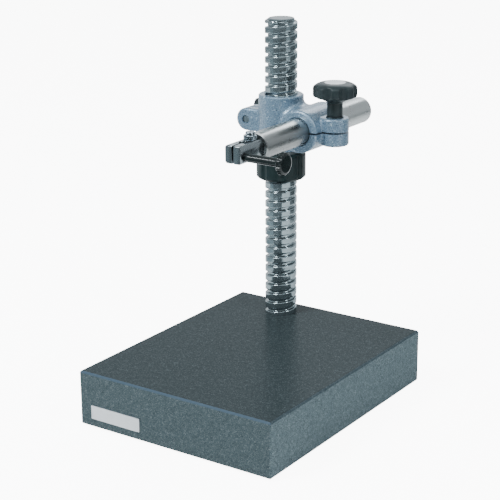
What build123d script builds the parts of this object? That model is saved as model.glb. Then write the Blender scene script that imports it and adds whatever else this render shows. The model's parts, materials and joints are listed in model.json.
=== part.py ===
from build123d import *
from math import ceil, cos, radians, sin
import os

os.makedirs("parts", exist_ok=True)

# Comparator stand. The origin is the centre of the granite's working face, +X to the right,
# +Y to the back where the column stands, +Z up. All lengths are millimetres.

# Granite plate
base_width = 200.0
base_depth = 250.0
base_height = 50.0
face_bevel = 1.6
corner_bevel = 1.0
foot_radius = 10.0
foot_thickness = 4.0
foot_stand = 2.0
foot_inset_x = 22.0
foot_inset_y = 22.0
foot_clearance = 0.1
foot_edge = 0.6

# Name plate, left bare
plate_length = 53.0
plate_height = 12.6
plate_thickness = 0.8
plate_corner = 0.8
plate_rim = 1.0
plate_rim_depth = 0.25
plate_left_gap = 12.9
plate_bottom_gap = 7.9

# Column with its square helical groove
column_x = -36.0
column_back_inset = 27.0
column_radius = 15.0
column_height = 283.0
column_tip_height = 1.6
column_tip_inset = 0.1
column_seat = 22.0
column_end_bevel = 0.7
seat_clearance = 0.05
groove_pitch = 9.1
groove_width = 3.9
groove_depth = 2.7
groove_start_height = 2.4
groove_start_angle = 350.8

# Bolt that pulls the column down into the plate
bolt_radius = 6.0
bolt_head_radius = 9.0
bolt_head_height = 12.0
bolt_thread_length = 22.0
bolt_socket_flat = 10.0
bolt_socket_depth = 6.0
bolt_hole_clearance = 0.6
bolt_tip_gap = 3.0
bolt_edge = 0.8
bolt_washer_radius = 14.0
bolt_washer_thickness = 2.5
bolt_recess_radius = 15.5
bolt_recess_depth = 17.0

# Arm: height of the cross bar's axis over the working face
arm_height = 186.8

# Bracket hub round the column
hub_radius = 21.0
hub_rise = 26.2
hub_drop = 24.8
hub_bore_clearance = 0.05
hub_rim_bevel = 1.0
hub_foot_bevel = 0.6
hub_bore_bevel = 0.8
hub_web_round = 6.0

# Bracket sleeve round the bar
sleeve_radius = 19.8
sleeve_front_reach = 29.0
sleeve_back_reach = 17.0
sleeve_bore_clearance = 0.05
sleeve_edge_round = 2.5
sleeve_bore_bevel = 1.2

# Ears of the bar clamp
ear_offset = 25.5
ear_forward = 6.0
ear_radius = 13.0
ear_half_height = 12.6
ear_web_half_depth = 9.0
ear_edge_round = 1.8
ear_waist_round = 4.0
ear_root_round = 2.0
bar_slit = 1.7

# Lug of the column clamp
lug_offset = 32.5
lug_radius = 10.6
lug_half_depth = 11.0
lug_edge_round = 2.0
column_slit = 1.8

# Clamp studs and washers
stud_radius = 4.0
stud_thread_clearance = 0.05
stud_pass_clearance = 0.3
stud_recess = 1.2
stud_in_knob = 12.0
stud_tip_bevel = 0.8
washer_radius = 8.0
washer_thickness = 1.2
washer_gap = 0.02

# Star knobs of both clamps
knob_radius = 20.0
knob_lobes = 8
knob_scallop_radius = 6.0
knob_scallop_depth = 2.6
knob_neck_radius = 7.1
knob_neck_length = 12.6
knob_cone_height = 5.4
knob_cone_break_radius = 12.5
knob_cone_break_height = 3.0
knob_band_height = 8.4
knob_crown_height = 4.2
knob_crown_break_radius = 16.2
knob_crown_break_drop = 1.4
knob_edge_round = 2.3
cap_radius = 9.6
cap_rim = 0.8
cap_thickness = 1.4
cap_proud = 0.5
cap_clearance = 0.05
cap_round = 0.5
bar_knob_turn = 10.0
column_knob_turn = 0.5

# Lifting nut and thrust washer under the hub
nut_radius = 23.3
nut_height = 26.0
nut_flutes = 8
nut_flute_turn = 35.0
nut_flute_radius = 4.6
nut_flute_depth = 1.3
nut_end_bevel = 2.4
nut_bore_clearance = 0.3
rib_flank_clearance = 0.3
rib_crest_clearance = 0.35
rib_end_inset = 1.6
rib_root_overlap = 0.8
thrust_radius = 21.0
thrust_thickness = 2.2
thrust_gap = 0.1

# Cross bar
bar_radius = 12.5
bar_front_reach = 95.0
bar_back_reach = 84.0
bar_front_bevel = 0.9
bar_back_round = 1.6

# Stem holder at the bar's front end
holder_length = 34.5
holder_width = 16.4
holder_height = 16.0
holder_turned_radius = 10.3
holder_edge_bevel = 0.6
holder_shoulder_gap = 0.5
stem_radius = 4.0
stem_back = 16.0
stem_slit = 1.9
tail_width = 8.0
tail_height = 8.0
tail_rise = 2.0
tail_length = 24.0
pocket_side_gap = 0.3
pocket_tilt_gap = 0.6
pocket_end_gap = 1.0
lip_width = 6.0
lip_thickness = 3.8
lip_top_drop = 3.2
lip_length = 12.5
lip_end_gap = 0.8
lip_side_gap = 0.4
lip_tilt_gap = 0.7
pin_radius = 2.0
pin_back = 18.0
pin_clearance = 0.03
pin_left_inset = 1.0
pin_right_reach = 8.0
pin_end_gap = 0.2
pin_end_bevel = 0.3

# Fine adjustment screw and the spring that loads it
fine_back = 26.4
fine_thread_radius = 2.0
fine_thread_clearance = 0.05
fine_tip_gap = 0.5
fine_head_gap = 0.35
fine_flange_radius = 5.8
fine_flange_height = 4.0
fine_hub_radius = 4.1
fine_hub_height = 3.0
fine_knurls = 24
fine_knurl_radius = 0.45
fine_head_bevel = 0.5
spring_y_back = 6.0
spring_radius = 1.8
spring_wire_radius = 0.25
spring_wire_sides = 6
spring_turns = 4
spring_seat_depth = 4.4
spring_seat_clearance = 0.3
spring_end_gap = 0.05

# Stem clamp stud and its long-necked knob
stem_screw_back = 7.5
stem_screw_drop = 2.5
stem_stud_radius = 2.5
stem_stud_clearance = 0.05
stem_stud_pass_clearance = 0.25
stem_stud_in_knob = 12.0
stem_stud_recess = 0.8
stem_knob_gap = 0.02
stem_neck_radius = 3.75
stem_neck_length = 33.0
stem_flare_length = 3.6
stem_head_radius = 10.0
stem_rim_length = 3.6
stem_crown_length = 1.2
stem_grips = 10
stem_grip_radius = 2.4
stem_grip_depth = 1.0
stem_edge_round = 0.4

# One overrun serves every cut
overrun = 1.0

# Sizes that follow from the ones above
column_y = base_depth / 2 - column_back_inset
sleeve_front_y = column_y - sleeve_front_reach
sleeve_back_y = column_y + sleeve_back_reach
ear_y = column_y - ear_forward
bar_front_y = column_y - bar_front_reach
bar_back_y = column_y + bar_back_reach
groove_floor_radius = column_radius - groove_depth
hub_top = arm_height + hub_rise
hub_bottom = arm_height - hub_drop
thrust_bottom = hub_bottom - thrust_gap - thrust_thickness
nut_top = thrust_bottom - thrust_gap
nut_bottom = nut_top - nut_height
lug_x = column_x - lug_offset
column_foot = -column_seat
bolt_recess_top = bolt_recess_depth - base_height
holder_back_y = bar_front_y - holder_shoulder_gap
holder_front_y = holder_back_y - holder_length
fine_y = holder_front_y + fine_back
stem_y = holder_front_y + stem_back
stem_screw_y = holder_front_y + stem_screw_back
stem_screw_z = arm_height - stem_screw_drop
holder_bottom = arm_height - holder_height / 2
holder_top = arm_height + holder_height / 2
pin_y = bar_front_y + pin_back
pin_z = arm_height + tail_rise
tail_bottom = pin_z - tail_height / 2
tail_top = pin_z + tail_height / 2
pocket_bottom = tail_bottom - pocket_tilt_gap
pocket_top = tail_top + pocket_tilt_gap
tail_end_y = holder_back_y + tail_length
lip_top = arm_height - lip_top_drop
lip_front_y = bar_front_y - lip_length
spring_y = bar_front_y + spring_y_back
spring_low = tail_top - spring_seat_depth + spring_end_gap
spring_high = pocket_top - spring_end_gap


def angle_at_height(height):
    """Angle about the column, in degrees, at which the groove's centre reaches a height."""
    return groove_start_angle + 360 * (height - groove_start_height) / groove_pitch


def helical_turns(inner, outer, width, low, high):
    """Square-section solids, one for each turn, that follow the groove between two heights."""
    turns = []
    for turn in range(ceil((high - low) / groove_pitch)):
        foot = low + turn * groove_pitch
        rise = min(groove_pitch, high - foot)
        with BuildPart(mode=Mode.PRIVATE) as bar:
            with BuildLine():
                path = Helix(groove_pitch, rise, (inner + outer) / 2, center=(column_x, column_y, foot))
            with BuildSketch(Plane(path @ 0, x_dir=(1, 0, 0), z_dir=path % 0)):
                Rectangle(outer - inner, width)
            sweep(is_frenet=True)
        turns.append(bar.part.rotate(Axis((column_x, column_y, 0), (0, 0, 1)), angle_at_height(foot)))
    return turns


# Granite plate: bevelled block with a bore for the column, a bolt recess below and pockets for the feet
foot_x = base_width / 2 - foot_inset_x
foot_y = base_depth / 2 - foot_inset_y
with BuildPart() as granite_base:
    with BuildSketch(Plane.XY.offset(-base_height)):
        Rectangle(base_width, base_depth)
    extrude(amount=base_height)
    chamfer(granite_base.edges().filter_by(Axis.Z), corner_bevel)
    chamfer(granite_base.faces().sort_by(Axis.Z)[-1].edges(), face_bevel)
    chamfer(granite_base.faces().sort_by(Axis.Z)[0].edges(), corner_bevel)
    with BuildSketch():
        with Locations((column_x, column_y)):
            Circle(column_radius + seat_clearance)
    extrude(amount=-column_seat, mode=Mode.SUBTRACT)
    with BuildSketch(Plane.XY.offset(-base_height)):
        with Locations((column_x, column_y)):
            Circle(bolt_radius + bolt_hole_clearance)
    extrude(amount=base_height - column_seat + overrun, mode=Mode.SUBTRACT)
    with BuildSketch(Plane.XY.offset(-base_height)):
        with GridLocations(2 * foot_x, 2 * foot_y, 2, 2):
            Circle(foot_radius + foot_clearance)
    extrude(amount=foot_thickness - foot_stand, mode=Mode.SUBTRACT)
    with BuildSketch(Plane.XY.offset(-base_height)):
        with Locations((column_x, column_y)):
            Circle(bolt_recess_radius)
    extrude(amount=bolt_recess_depth, mode=Mode.SUBTRACT)
granite_base.part.label = "granite_base"
export_step(granite_base.part, "parts/granite_base.step")

# Four rubber pads let into the underside
with BuildPart() as base_feet:
    with BuildSketch(Plane.XY.offset(-base_height - foot_stand)):
        with GridLocations(2 * foot_x, 2 * foot_y, 2, 2):
            Circle(foot_radius)
    extrude(amount=foot_thickness)
    chamfer(base_feet.faces().group_by(Axis.Z)[0].edges(), foot_edge)
base_feet.part.label = "base_feet"
export_step(base_feet.part, "parts/base_feet.step")

# Bare name plate with a raised rim, on the front face
plate_x = plate_left_gap + plate_length / 2 - base_width / 2
plate_z = plate_bottom_gap + plate_height / 2 - base_height
front_plane = Plane(origin=(plate_x, -base_depth / 2, plate_z), x_dir=(1, 0, 0), z_dir=(0, -1, 0))
with BuildPart() as name_plate:
    with BuildSketch(front_plane):
        RectangleRounded(plate_length, plate_height, plate_corner)
    extrude(amount=plate_thickness)
    with BuildSketch(front_plane.offset(plate_thickness)):
        RectangleRounded(plate_length - 2 * plate_rim, plate_height - 2 * plate_rim, plate_corner / 2)
    extrude(amount=-plate_rim_depth, mode=Mode.SUBTRACT)
name_plate.part.label = "name_plate"
export_step(name_plate.part, "parts/name_plate.step")

# Column: turned bar with a helical square groove that starts in a milled round end and runs out at the top
start_spoke = Vector(cos(radians(groove_start_angle)), sin(radians(groove_start_angle)), 0)
start_point = Vector(column_x, column_y, groove_start_height) + start_spoke * groove_floor_radius
groove_cutters = helical_turns(
    groove_floor_radius, column_radius + overrun, groove_width, groove_start_height,
    column_height + groove_width)
with BuildPart() as column:
    with BuildSketch(Plane.XY.offset(column_foot)):
        with Locations((column_x, column_y)):
            Circle(column_radius)
    extrude(amount=column_height - column_tip_height + column_seat)
    chamfer(column.edges().filter_by(GeomType.CIRCLE), column_end_bevel)
    with BuildSketch(Plane.XY.offset(column_height - column_tip_height)):
        with Locations((column_x, column_y)):
            Circle(groove_floor_radius - column_tip_inset)
    extrude(amount=column_tip_height)
    chamfer(column.faces().sort_by(Axis.Z)[-1].edges(), column_end_bevel)
    add(groove_cutters, mode=Mode.SUBTRACT)
    with BuildSketch(Plane(start_point, z_dir=start_spoke)):
        Circle(groove_width / 2)
    extrude(amount=groove_depth + overrun, mode=Mode.SUBTRACT)
    with BuildSketch(Plane.XY.offset(column_foot)):
        with Locations((column_x, column_y)):
            Circle(bolt_radius + seat_clearance)
    extrude(amount=bolt_thread_length + bolt_tip_gap, mode=Mode.SUBTRACT)
column.part.label = "column"
export_step(column.part, "parts/column.step")

# Washer and socket-head bolt in the recess under the plate
washer_bottom = bolt_recess_top - bolt_washer_thickness
with BuildPart() as column_washer:
    with BuildSketch(Plane.XY.offset(washer_bottom)):
        with Locations((column_x, column_y)):
            Circle(bolt_washer_radius)
            Circle(bolt_radius + bolt_hole_clearance, mode=Mode.SUBTRACT)
    extrude(amount=bolt_washer_thickness)
column_washer.part.label = "column_washer"
export_step(column_washer.part, "parts/column_washer.step")

with BuildPart() as column_bolt:
    with BuildSketch(Plane.XY.offset(washer_bottom - bolt_head_height)):
        with Locations((column_x, column_y)):
            Circle(bolt_head_radius)
    extrude(amount=bolt_head_height)
    with BuildSketch(Plane.XY.offset(washer_bottom)):
        with Locations((column_x, column_y)):
            Circle(bolt_radius)
    extrude(amount=column_foot + bolt_thread_length - washer_bottom)
    chamfer(column_bolt.edges().filter_by(GeomType.CIRCLE).sort_by(Axis.Z)[-1], bolt_edge)
    chamfer(column_bolt.edges().filter_by(GeomType.CIRCLE).sort_by(Axis.Z)[0], bolt_edge)
    with BuildSketch(Plane.XY.offset(washer_bottom - bolt_head_height)):
        with Locations((column_x, column_y)):
            RegularPolygon(bolt_socket_flat / 2, 6, major_radius=False)
    extrude(amount=bolt_socket_depth, mode=Mode.SUBTRACT)
column_bolt.part.label = "column_bolt"
export_step(column_bolt.part, "parts/column_bolt.step")

# Lifting nut: fluted ring whose inner rib runs in the column's groove
nut_rib = helical_turns(
    groove_floor_radius + rib_crest_clearance,
    column_radius + nut_bore_clearance + rib_root_overlap,
    groove_width - 2 * rib_flank_clearance,
    nut_bottom + groove_width / 2 + rib_end_inset,
    nut_top - groove_width / 2 - rib_end_inset)
with BuildPart() as lifting_nut:
    with BuildSketch(Plane.XY.offset(nut_bottom)):
        with Locations((column_x, column_y)):
            Circle(nut_radius)
    extrude(amount=nut_height)
    chamfer(lifting_nut.edges().filter_by(GeomType.CIRCLE), nut_end_bevel)
    with BuildSketch(Plane.XY.offset(nut_bottom)):
        with Locations((column_x, column_y)):
            with PolarLocations(nut_radius + nut_flute_radius - nut_flute_depth, nut_flutes, nut_flute_turn):
                Circle(nut_flute_radius)
    extrude(amount=nut_height, mode=Mode.SUBTRACT)
    with BuildSketch(Plane.XY.offset(nut_bottom)):
        with Locations((column_x, column_y)):
            Circle(column_radius + nut_bore_clearance)
    extrude(amount=nut_height, mode=Mode.SUBTRACT)
    add(nut_rib)
lifting_nut.part.label = "lifting_nut"
export_step(lifting_nut.part, "parts/lifting_nut.step")

# Thrust washer: the bracket swings on it while the nut stands still
with BuildPart() as thrust_washer:
    with BuildSketch(Plane.XY.offset(thrust_bottom)):
        with Locations((column_x, column_y)):
            Circle(thrust_radius)
            Circle(column_radius + nut_bore_clearance, mode=Mode.SUBTRACT)
    extrude(amount=thrust_thickness)
thrust_washer.part.label = "thrust_washer"
export_step(thrust_washer.part, "parts/thrust_washer.step")

# Cast bracket: hub, sleeve, lug and ears in one casting, then the bores, slits and stud holes
hub_plane = Plane.XY.offset(hub_bottom)
sleeve_plane = Plane(origin=(0, sleeve_front_y, arm_height), x_dir=(1, 0, 0), z_dir=(0, 1, 0))
lug_plane = Plane(
    origin=(lug_x, column_y - lug_half_depth, arm_height), x_dir=(1, 0, 0), z_dir=(0, 1, 0))
ear_plane = Plane.XY.offset(arm_height - ear_half_height)
with BuildPart() as lug_blank:
    with BuildSketch(lug_plane):
        Circle(lug_radius)
        with Locations((lug_offset / 2, 0)):
            Rectangle(lug_offset, 2 * lug_radius)
    extrude(amount=2 * lug_half_depth)
    fillet(lug_blank.faces().filter_by(Axis.Y).edges(), lug_edge_round)
with BuildPart() as ear_blank:
    with BuildSketch(ear_plane):
        with Locations((ear_offset, ear_y)):
            Circle(ear_radius)
        with Locations((ear_offset / 2, ear_y)):
            Rectangle(ear_offset, 2 * ear_web_half_depth)
        fillet(vertices().sort_by(Axis.X)[-2:], ear_waist_round)
    extrude(amount=2 * ear_half_height)
    fillet(ear_blank.faces().filter_by(Axis.Z).edges(), ear_edge_round)
with BuildPart() as arm_bracket:
    with BuildSketch(hub_plane):
        with Locations((column_x, column_y)):
            Circle(hub_radius)
    extrude(amount=hub_top - hub_bottom)
    chamfer(arm_bracket.edges().filter_by(GeomType.CIRCLE).sort_by(Axis.Z)[-1], hub_rim_bevel)
    chamfer(arm_bracket.edges().filter_by(GeomType.CIRCLE).sort_by(Axis.Z)[0], hub_foot_bevel)
    with BuildSketch(sleeve_plane):
        Circle(sleeve_radius)
    extrude(amount=sleeve_back_y - sleeve_front_y)
    fillet(arm_bracket.edges().filter_by(GeomType.BSPLINE), hub_web_round)
    sleeve_rims = arm_bracket.edges().filter_by(GeomType.CIRCLE).filter_by(
        lambda edge: abs(edge.radius - sleeve_radius) < overrun / 100)
    fillet(sleeve_rims.sort_by(Axis.Y)[0], sleeve_edge_round)
    add(ear_blank.part)
    ear_roots = arm_bracket.edges().filter_by(GeomType.BSPLINE).filter_by(
        lambda edge: 0 < edge.center().X < sleeve_radius)
    fillet(ear_roots, ear_root_round)
    add(lug_blank.part)
    with BuildSketch(hub_plane):
        with Locations((column_x, column_y)):
            Circle(column_radius + hub_bore_clearance)
    extrude(amount=hub_top - hub_bottom, mode=Mode.SUBTRACT)
    hub_mouth = arm_bracket.faces().sort_by(Axis.Z)[-1].edges().sort_by(SortBy.RADIUS)[0]
    chamfer(hub_mouth, hub_bore_bevel)
    with BuildSketch(sleeve_plane):
        Circle(bar_radius + sleeve_bore_clearance)
    extrude(amount=sleeve_back_y - sleeve_front_y, mode=Mode.SUBTRACT)
    sleeve_mouth = arm_bracket.faces().sort_by(Axis.Y)[0].edges().sort_by(SortBy.RADIUS)[0]
    chamfer(sleeve_mouth, sleeve_bore_bevel)
    with BuildSketch(hub_plane):
        with Locations((lug_x, column_y)):
            Rectangle(2 * lug_offset - column_radius, column_slit)
    extrude(amount=hub_top - hub_bottom, mode=Mode.SUBTRACT)
    with BuildSketch(Plane.XY.offset(arm_height - bar_slit / 2)):
        with Locations((ear_offset, (sleeve_front_y + sleeve_back_y) / 2)):
            Rectangle(2 * ear_offset, sleeve_back_y - sleeve_front_y + overrun)
    extrude(amount=bar_slit, mode=Mode.SUBTRACT)
    with BuildSketch(lug_plane):
        Circle(stud_radius + stud_thread_clearance)
    extrude(amount=lug_half_depth, mode=Mode.SUBTRACT)
    with BuildSketch(lug_plane.offset(lug_half_depth)):
        Circle(stud_radius + stud_pass_clearance)
    extrude(amount=lug_half_depth, mode=Mode.SUBTRACT)
    with BuildSketch(ear_plane):
        with Locations((ear_offset, ear_y)):
            Circle(stud_radius + stud_thread_clearance)
    extrude(amount=ear_half_height, mode=Mode.SUBTRACT)
    with BuildSketch(ear_plane.offset(ear_half_height)):
        with Locations((ear_offset, ear_y)):
            Circle(stud_radius + stud_pass_clearance)
    extrude(amount=ear_half_height, mode=Mode.SUBTRACT)
arm_bracket.part.label = "arm_bracket"
export_step(arm_bracket.part, "parts/arm_bracket.step")

# Both clamps are alike: a plane on the clamped face, pointing at the knob, and the thickness behind it
bar_clamp_seat = Plane(
    origin=(ear_offset, ear_y, arm_height + ear_half_height), x_dir=(1, 0, 0), z_dir=(0, 0, 1))
column_clamp_seat = Plane(
    origin=(lug_x, column_y + lug_half_depth, arm_height), x_dir=(1, 0, 0), z_dir=(0, 1, 0))
knob_bottom = washer_thickness + 2 * washer_gap
knob_head = knob_bottom + knob_neck_length
knob_band = knob_head + knob_cone_height
knob_shoulder = knob_band + knob_band_height
knob_top = knob_shoulder + knob_crown_height
clamps = (
    ("bar_clamp", bar_clamp_seat, 2 * ear_half_height, bar_knob_turn),
    ("column_clamp", column_clamp_seat, 2 * lug_half_depth, column_knob_turn),
)
for clamp_name, seat, grip_depth, turn in clamps:
    # Star knob: lobed head cut to a turned outline, on a plain neck, bored for the stud and the cap
    with BuildPart() as clamp_knob:
        with BuildSketch(seat.offset(knob_head)):
            Circle(knob_radius)
            with PolarLocations(knob_radius + knob_scallop_radius - knob_scallop_depth, knob_lobes, turn):
                Circle(knob_scallop_radius, mode=Mode.SUBTRACT)
            fillet(vertices(), knob_edge_round)
        extrude(amount=knob_top - knob_head)
        with BuildSketch(Plane(seat.origin, x_dir=seat.x_dir, z_dir=seat.z_dir.cross(seat.x_dir) * -1)):
            with BuildLine():
                ThreePointArc(
                    (knob_radius, knob_shoulder),
                    (knob_crown_break_radius, knob_top - knob_crown_break_drop),
                    (cap_radius + cap_rim, knob_top))
                Polyline(
                    (cap_radius + cap_rim, knob_top),
                    (0, knob_top),
                    (0, knob_head),
                    (knob_neck_radius, knob_head),
                    (knob_cone_break_radius, knob_head + knob_cone_break_height),
                    (knob_radius, knob_band),
                    (knob_radius, knob_shoulder))
            make_face()
        revolve(axis=Axis(seat.origin, seat.z_dir), mode=Mode.INTERSECT)
        with BuildSketch(seat.offset(knob_bottom)):
            Circle(knob_neck_radius)
        extrude(amount=knob_neck_length)
        with BuildSketch(seat.offset(knob_bottom)):
            Circle(stud_radius + stud_thread_clearance)
        extrude(amount=stud_in_knob, mode=Mode.SUBTRACT)
        with BuildSketch(seat.offset(knob_top)):
            Circle(cap_radius + cap_clearance)
        extrude(amount=cap_proud - cap_thickness, mode=Mode.SUBTRACT)
    clamp_knob.part.label = f"{clamp_name}_knob"
    export_step(clamp_knob.part, f"parts/{clamp_name}_knob.step")

    # Round cap that closes the knob's top
    with BuildPart() as clamp_cap:
        with BuildSketch(seat.offset(knob_top + cap_proud - cap_thickness)):
            Circle(cap_radius)
        extrude(amount=cap_thickness)
        fillet(clamp_cap.faces().filter_by(GeomType.PLANE).sort_by(Axis(seat.origin, seat.z_dir))[-1].edges(),
               cap_round)
    clamp_cap.part.label = f"{clamp_name}_cap"
    export_step(clamp_cap.part, f"parts/{clamp_name}_cap.step")

    # Washer between the knob and the casting
    with BuildPart() as clamp_washer:
        with BuildSketch(seat.offset(washer_gap)):
            Circle(washer_radius)
            Circle(stud_radius + stud_pass_clearance, mode=Mode.SUBTRACT)
        extrude(amount=washer_thickness)
    clamp_washer.part.label = f"{clamp_name}_washer"
    export_step(clamp_washer.part, f"parts/{clamp_name}_washer.step")

    # Stud: fixed in the knob, free in the near half of the clamp and threaded in the far half
    with BuildPart() as clamp_stud:
        with BuildSketch(seat.offset(stud_recess - grip_depth)):
            Circle(stud_radius)
        extrude(amount=grip_depth - stud_recess + knob_bottom + stud_in_knob - stud_tip_bevel)
        chamfer(clamp_stud.edges().filter_by(GeomType.CIRCLE), stud_tip_bevel)
    clamp_stud.part.label = f"{clamp_name}_stud"
    export_step(clamp_stud.part, f"parts/{clamp_name}_stud.step")

# Cross bar: round bar with a lip and a pocket at its front end for the stem holder
bar_end_plane = Plane(origin=(0, bar_front_y, arm_height), x_dir=(1, 0, 0), z_dir=(0, 1, 0))
pin_plane = Plane(origin=(pin_left_inset - bar_radius, pin_y, pin_z), x_dir=(0, 1, 0), z_dir=(1, 0, 0))
with BuildPart() as cross_bar:
    with BuildSketch(bar_end_plane):
        Circle(bar_radius)
    extrude(amount=bar_back_y - bar_front_y)
    chamfer(cross_bar.faces().sort_by(Axis.Y)[0].edges(), bar_front_bevel)
    fillet(cross_bar.faces().sort_by(Axis.Y)[-1].edges(), bar_back_round)
    with BuildSketch(Plane.XY.offset(lip_top - lip_thickness)):
        with Locations((0, bar_front_y - lip_length / 2 + lip_thickness / 2)):
            Rectangle(lip_width, lip_length + lip_thickness)
    extrude(amount=lip_thickness)
    with BuildSketch(Plane.XY.offset(pocket_bottom)):
        with Locations((0, (bar_front_y - overrun + tail_end_y + pocket_end_gap) / 2)):
            Rectangle(
                tail_width + 2 * pocket_side_gap,
                tail_end_y + pocket_end_gap - bar_front_y + overrun)
    extrude(amount=pocket_top - pocket_bottom, mode=Mode.SUBTRACT)
    with BuildSketch(pin_plane.offset(-pin_left_inset)):
        Circle(pin_radius + pin_clearance)
    extrude(amount=bar_radius + pin_right_reach + pin_end_gap, mode=Mode.SUBTRACT)
cross_bar.part.label = "cross_bar"
export_step(cross_bar.part, "parts/cross_bar.step")

# Hinge pin of the fine adjustment
with BuildPart() as holder_pin:
    with BuildSketch(pin_plane):
        Circle(pin_radius)
    extrude(amount=bar_radius - pin_left_inset + pin_right_reach)
    chamfer(holder_pin.edges().filter_by(GeomType.CIRCLE), pin_end_bevel)
holder_pin.part.label = "holder_pin"
export_step(holder_pin.part, "parts/holder_pin.step")

# Stem holder: slit block with a vertical bore, a tail on the hinge pin and a groove over the bar's lip
holder_plane = Plane(origin=(0, holder_front_y, arm_height), x_dir=(1, 0, 0), z_dir=(0, 1, 0))
stem_screw_plane = Plane(
    origin=(holder_width / 2, stem_screw_y, stem_screw_z), x_dir=(0, 1, 0), z_dir=(1, 0, 0))
with BuildPart() as stem_holder:
    with BuildSketch(holder_plane):
        Rectangle(holder_width, holder_height)
        Circle(holder_turned_radius, mode=Mode.INTERSECT)
    extrude(amount=holder_back_y - holder_front_y)
    chamfer(stem_holder.faces().sort_by(Axis.Y)[0].edges(), holder_edge_bevel)
    with BuildSketch(Plane.XY.offset(tail_bottom)):
        with Locations((0, (holder_back_y - lip_thickness + tail_end_y) / 2)):
            Rectangle(tail_width, tail_length + lip_thickness)
    extrude(amount=tail_height)
    with BuildSketch(Plane.XY.offset(holder_bottom)):
        with Locations((0, stem_y)):
            Circle(stem_radius)
        with Locations((0, (holder_front_y + stem_y) / 2)):
            Rectangle(stem_slit, stem_y - holder_front_y)
        with Locations((0, (lip_front_y - lip_end_gap + holder_back_y) / 2)):
            Rectangle(lip_width + 2 * lip_side_gap, holder_back_y - lip_front_y + lip_end_gap)
    extrude(amount=lip_top + lip_tilt_gap - holder_bottom, mode=Mode.SUBTRACT)
    with BuildSketch(Plane.XY.offset(holder_bottom)):
        with Locations((0, stem_y)):
            Circle(stem_radius)
        with Locations((0, (holder_front_y + stem_y) / 2)):
            Rectangle(stem_slit, stem_y - holder_front_y)
    extrude(amount=holder_height, mode=Mode.SUBTRACT)
    with BuildSketch(Plane.XY.offset(holder_top)):
        with Locations((0, fine_y)):
            Circle(fine_thread_radius + fine_thread_clearance)
    extrude(amount=-holder_height / 2 - lip_top_drop, mode=Mode.SUBTRACT)
    with BuildSketch(Plane.XY.offset(tail_top)):
        with Locations((0, spring_y)):
            Circle(spring_radius + spring_wire_radius + spring_seat_clearance)
    extrude(amount=-spring_seat_depth, mode=Mode.SUBTRACT)
    with BuildSketch(pin_plane):
        Circle(pin_radius + pin_clearance)
    extrude(amount=2 * bar_radius, mode=Mode.SUBTRACT)
    with BuildSketch(stem_screw_plane):
        Circle(stem_stud_radius + stem_stud_pass_clearance)
    extrude(amount=-holder_width / 2, mode=Mode.SUBTRACT)
    with BuildSketch(stem_screw_plane):
        Circle(stem_stud_radius + stem_stud_clearance)
    extrude(amount=-holder_width, mode=Mode.SUBTRACT)
stem_holder.part.label = "stem_holder"
export_step(stem_holder.part, "parts/stem_holder.step")

# Coil spring between the holder's tail and the roof of the bar's pocket
with BuildPart() as fine_spring:
    with BuildLine(Plane.XY.offset(spring_low + spring_wire_radius)):
        coil = Helix(
            (spring_high - spring_low - 2 * spring_wire_radius) / spring_turns,
            spring_high - spring_low - 2 * spring_wire_radius,
            spring_radius,
            center=(0, spring_y, 0))
    with BuildSketch(Plane(coil @ 0, z_dir=coil % 0)):
        RegularPolygon(spring_wire_radius, spring_wire_sides)
    sweep(is_frenet=True)
fine_spring.part.label = "fine_spring"
export_step(fine_spring.part, "parts/fine_spring.step")

# Fine adjustment screw: knurled head in two steps on a thread that bears on the bar's lip
fine_head = holder_top + fine_head_gap
with BuildPart() as fine_screw:
    with BuildSketch(Plane.XY.offset(fine_head)):
        with Locations((0, fine_y)):
            Circle(fine_flange_radius)
            with PolarLocations(fine_flange_radius, fine_knurls):
                Circle(fine_knurl_radius, mode=Mode.SUBTRACT)
    extrude(amount=fine_flange_height)
    with BuildSketch(Plane.XY.offset(fine_head + fine_flange_height)):
        with Locations((0, fine_y)):
            Circle(fine_hub_radius)
    extrude(amount=fine_hub_height)
    chamfer(fine_screw.faces().sort_by(Axis.Z)[-1].edges(), fine_head_bevel)
    with BuildSketch(Plane.XY.offset(lip_top + fine_tip_gap)):
        with Locations((0, fine_y)):
            Circle(fine_thread_radius)
    extrude(amount=fine_head - lip_top - fine_tip_gap)
    chamfer(fine_screw.faces().sort_by(Axis.Z)[0].edges(), fine_head_bevel)
fine_screw.part.label = "fine_screw"
export_step(fine_screw.part, "parts/fine_screw.step")

# Stem clamp stud across the holder's slit
with BuildPart() as stem_stud:
    with BuildSketch(stem_screw_plane.offset(stem_stud_recess - holder_width)):
        Circle(stem_stud_radius)
    extrude(amount=holder_width - stem_stud_recess + stem_knob_gap + stem_stud_in_knob - stem_edge_round)
    chamfer(stem_stud.edges().filter_by(GeomType.CIRCLE), stem_edge_round)
stem_stud.part.label = "stem_stud"
export_step(stem_stud.part, "parts/stem_stud.step")

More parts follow.
